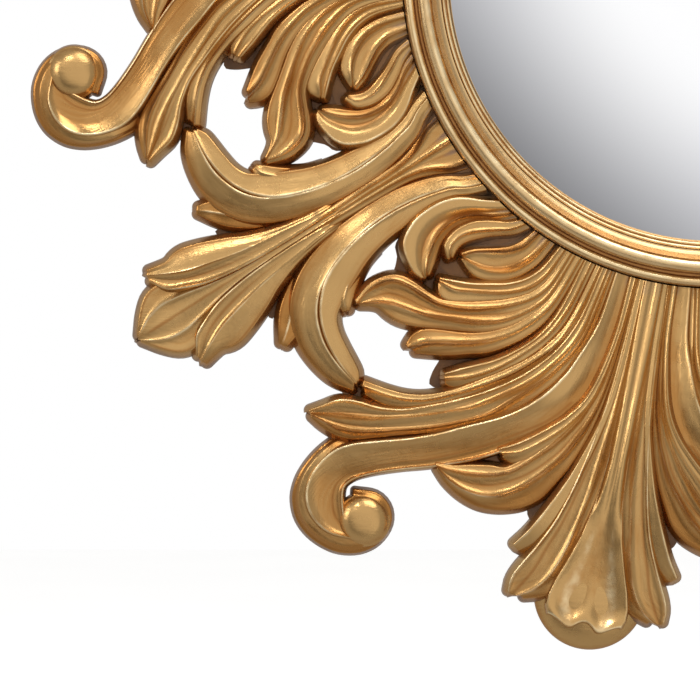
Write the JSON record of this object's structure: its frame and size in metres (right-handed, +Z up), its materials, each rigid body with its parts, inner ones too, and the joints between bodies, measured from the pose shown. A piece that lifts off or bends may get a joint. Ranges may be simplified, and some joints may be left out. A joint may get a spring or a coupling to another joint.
{
  "type": "convex mirror",
  "caption": "Round convex wall mirror with a domed glass, a turned moulding and a wide carved, pierced and gilded border of palmettes, fans and scrolls.",
  "frame": {"origin": "middle of the wall plane that the bumpers stand on, on the line through the middle of the glass", "axes": "+Z up, +X to the right seen from the front, the glass faces -Y, +Y points into the wall"},
  "size_m": [0.8958, 0.053, 0.8958],
  "materials": {
    "gilded_carving": "burnished gold leaf over brown bole, rubbed on the ridges, taupe wash on the side walls",
    "gilded_moulding": "burnished gold leaf over brown bole",
    "mirror_glass": "silvered convex glass",
    "backing_wood": "sanded and sealed plywood",
    "back_board": "hardboard",
    "gasket": "soft black strip",
    "foam": "grey foam",
    "button_brass": "lacquered",
    "hanger_steel": "zinc plated",
    "screw_steel": "zinc plated",
    "bumper": "matt"
  },
  "bodies": {
    "frame": {"sight_moulding": "gilded_moulding", "backing_ring": "backing_wood", "carving_screws": "screw_steel", "mirror_glass": "mirror_glass", "rim_gasket": "gasket", "foam_ring": "foam", "back_board": "back_board", "turn_button_screws": "screw_steel", "d_ring_strap_left": "hanger_steel", "d_ring_strap_right": "hanger_steel", "d_ring_screws": "screw_steel", "wall_bumpers": "bumper", "palmette_carving_1": "gilded_carving", "palmette_carving_2": "gilded_carving", "palmette_carving_3": "gilded_carving", "palmette_carving_4": "gilded_carving", "fan_carving_1": "gilded_carving", "fan_carving_2": "gilded_carving", "fan_carving_3": "gilded_carving", "fan_carving_4": "gilded_carving"},
    "button_1": {"turn_button_1": "button_brass"},
    "button_2": {"turn_button_2": "button_brass"},
    "button_3": {"turn_button_3": "button_brass"},
    "button_4": {"turn_button_4": "button_brass"},
    "button_5": {"turn_button_5": "button_brass"},
    "button_6": {"turn_button_6": "button_brass"},
    "ring_left": {"d_ring_left": "hanger_steel"},
    "ring_right": {"d_ring_right": "hanger_steel"}
  },
  "joints": [
    {"name": "button_1_turn", "type": "hinge", "parent": "frame", "child": "button_1", "pos_m": [0.10025, -0.0067, 0.17364], "axis": [0, 1, 0], "continuous": true},
    {"name": "button_2_turn", "type": "hinge", "parent": "frame", "child": "button_2", "pos_m": [0.2005, -0.0067, 0], "axis": [0, 1, 0], "continuous": true},
    {"name": "button_3_turn", "type": "hinge", "parent": "frame", "child": "button_3", "pos_m": [0.10025, -0.0067, -0.17364], "axis": [0, 1, 0], "continuous": true},
    {"name": "button_4_turn", "type": "hinge", "parent": "frame", "child": "button_4", "pos_m": [-0.10025, -0.0067, -0.17364], "axis": [0, 1, 0], "continuous": true},
    {"name": "button_5_turn", "type": "hinge", "parent": "frame", "child": "button_5", "pos_m": [-0.2005, -0.0067, 0], "axis": [0, 1, 0], "continuous": true},
    {"name": "button_6_turn", "type": "hinge", "parent": "frame", "child": "button_6", "pos_m": [-0.10025, -0.0067, 0.17364], "axis": [0, 1, 0], "continuous": true},
    {"name": "ring_left_swing", "type": "hinge", "parent": "frame", "child": "ring_left", "pos_m": [-0.15105, -0.0049, 0.18002], "axis": [1, 0, 0], "range_deg": [0, 180]},
    {"name": "ring_right_swing", "type": "hinge", "parent": "frame", "child": "ring_right", "pos_m": [0.15105, -0.0049, 0.18002], "axis": [1, 0, 0], "range_deg": [0, 180]}
  ]
}
